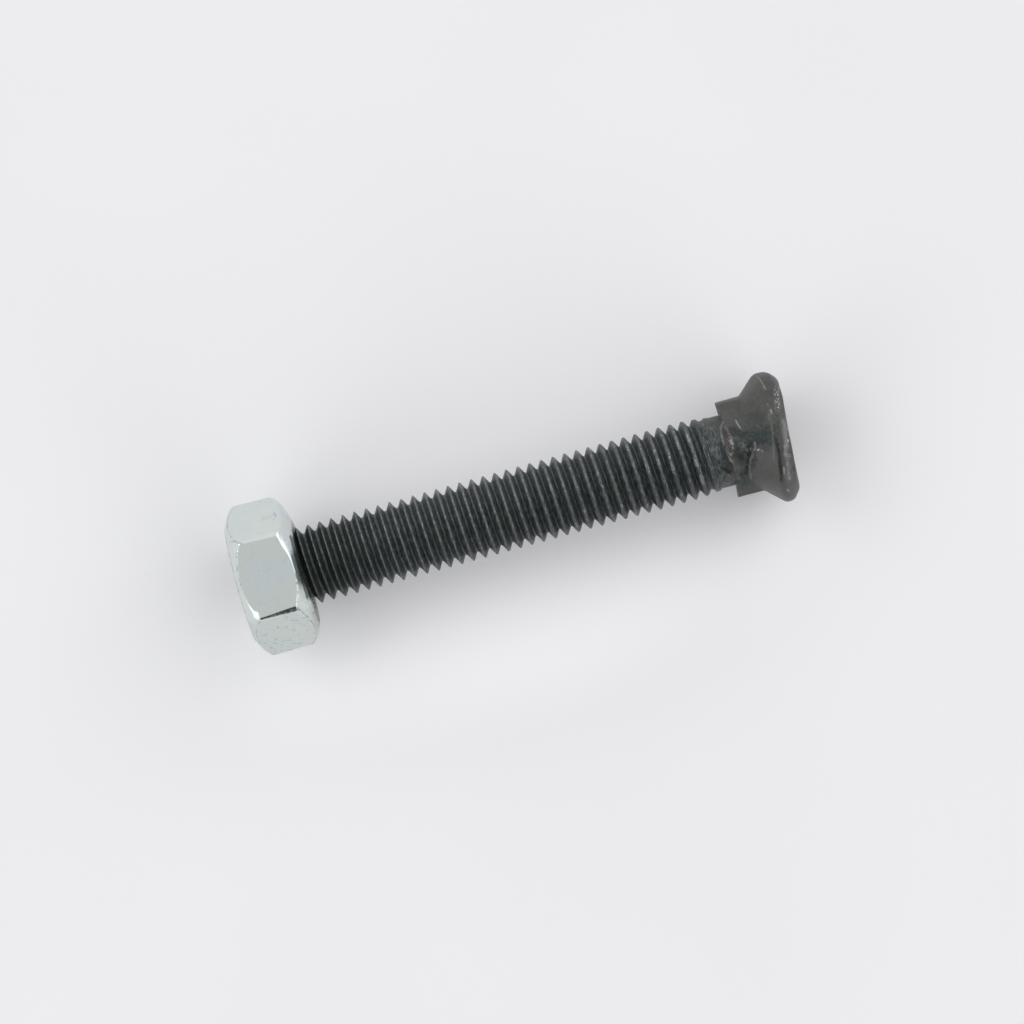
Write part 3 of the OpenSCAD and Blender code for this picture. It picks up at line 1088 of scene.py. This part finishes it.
def table_material():
    """White card, with painted light in a soft patch under the bolt that lifts the shade there."""
    n = Nodes(bpy.data.materials.new("table"))
    place = n.place()
    clouds = n.noise(place, 60.0, 2.0)
    colour = n.mix(n.step(clouds, 0.3, 0.7), CARD, CARD_CLOUD)
    # Painted light: a soft paler patch under the bolt lifts the shade that the bolt casts on the card
    shrunk = n.scaled(place, PAINTED_LIGHT_SCALE)
    patch = n.add("VectorMath", shrunk, PAINTED_LIGHT_CENTRE, operation="DISTANCE")
    colour = n.mix(n.step(patch.outputs["Value"], 0.95, 0.35), colour, CARD_PAINTED_LIGHT)
    n.bump(n.noise(place, 0.5, 2.0), 0.004)
    return n.finish(colour, 0.75, 0.0)


# ---------------------------------------------------------------- pieces on their bodies

bolt = make_bolt()
bolt.data.materials.append(bolt_material())
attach(bolt, "bolt")
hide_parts("plow_bolt")

nut = make_nut()
nut.data.materials.append(nut_material())
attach(nut, "nut")
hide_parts("hex_nut")

# ---------------------------------------------------------------- table, light and camera


def make_table():
    half = 1.5
    table = mesh_object(
        "table",
        [(-half, -half, 0), (half, -half, 0), (half, half, 0), (-half, half, 0)],
        [(0, 1, 2, 3)],
        smooth=False,
    )
    table.data.materials.append(table_material())


def soft_light(name, place, target, size, power):
    data = bpy.data.lights.new(name, "AREA")
    data.shape = "RECTANGLE"
    data.size, data.size_y = size
    data.energy = power
    light = bpy.data.objects.new(name, data)
    light.location = place
    light.rotation_euler = (Vector(target) - Vector(place)).to_track_quat("-Z", "Y").to_euler()
    bpy.context.scene.collection.objects.link(light)


# The picture's own directions on the table: the bolt rises 15.4 degrees to the right
BOLT_RISE = math.radians(15.4)
PICTURE_RIGHT = Vector((math.cos(BOLT_RISE), -math.sin(BOLT_RISE), 0))
PICTURE_UP = Vector((math.sin(BOLT_RISE), math.cos(BOLT_RISE), 0))

# The camera: metres to a pixel, height over the axis, the stations that it looks at and stands over,
# and how far towards -Y both are
SCALE = 0.12382 * MM
CAMERA_HEIGHT = 0.555
CENTRE_STATION = 34.3
FOOT_STATION = 38.9
CENTRE_DROP = 0.33
PICTURE_WIDTH = 1024
SENSOR_WIDTH = 36


def make_camera():
    data = bpy.data.cameras.new("camera")
    camera = bpy.data.objects.new("camera", data)
    bpy.context.scene.collection.objects.link(camera)
    bpy.context.scene.camera = camera
    target = Vector((END_X + CENTRE_STATION * MM, -CENTRE_DROP * MM, AXIS_Z))
    place = Vector((END_X + FOOT_STATION * MM, -CENTRE_DROP * MM, AXIS_Z + CAMERA_HEIGHT))
    back = (place - target).normalized()
    right = (PICTURE_RIGHT - back * PICTURE_RIGHT.dot(back)).normalized()
    up = back.cross(right)
    camera.matrix_world = Matrix.Translation(place) @ Matrix((right, up, back)).transposed().to_4x4()
    data.sensor_width = SENSOR_WIDTH
    data.lens = SENSOR_WIDTH * (place - target).length / (PICTURE_WIDTH * SCALE)
    data.clip_start = 0.01
    data.clip_end = 10


# Brighter and darker patches of the tent: azimuth from the picture's right and elevation in degrees,
# strength, and the half-angles between which the patch fades
TENT_PATCHES = [
    (50, 28, 1.1, 10, 34),
    (0, 30, 0.4, 10, 34),
    (180, 25, 0.15, 10, 40),
    (222, 22, 1.0, 6, 20),
    (318, 22, 0.8, 6, 20),
    (270, 40, -0.89, 16, 29),
    (0, 90, -0.22, 12, 48),
]
TENT_LEVEL = 0.90
TENT_COLOUR = (0.98, 0.985, 1.0, 1)


def tent_direction(azimuth, elevation):
    azimuth, elevation = math.radians(azimuth), math.radians(elevation)
    flat = PICTURE_RIGHT * math.cos(azimuth) + PICTURE_UP * math.sin(azimuth)
    return flat * math.cos(elevation) + Vector((0, 0, math.sin(elevation)))


def make_world():
    """A soft white tent round the table, with a few brighter patches, one dark gap and a dimmer top."""
    world = bpy.data.worlds.new("studio")
    bpy.context.scene.world = world
    n = Nodes(world)
    background = n.tree.nodes["Background"]
    direction = n.add("TexCoord").outputs["Generated"]
    level = TENT_LEVEL
    for azimuth, elevation, strength, inner, outer in TENT_PATCHES:
        middle = tent_direction(azimuth, elevation)
        towards = n.add("VectorMath", direction, middle, operation="DOT_PRODUCT").outputs["Value"]
        patch = n.step(towards, math.cos(math.radians(outer)), math.cos(math.radians(inner)))
        level = n.math("ADD", n.math("MULTIPLY", patch, strength), level)
    background.inputs["Color"].default_value = TENT_COLOUR
    n.feed(background.inputs["Strength"], level)


make_table()
make_world()
soft_light("main", place=tent_direction(160, 48) * 2.6, target=(0, 0, 0), size=(1.6, 1.2), power=8.0)
make_camera()
bpy.context.scene.view_settings.view_transform = "Standard"
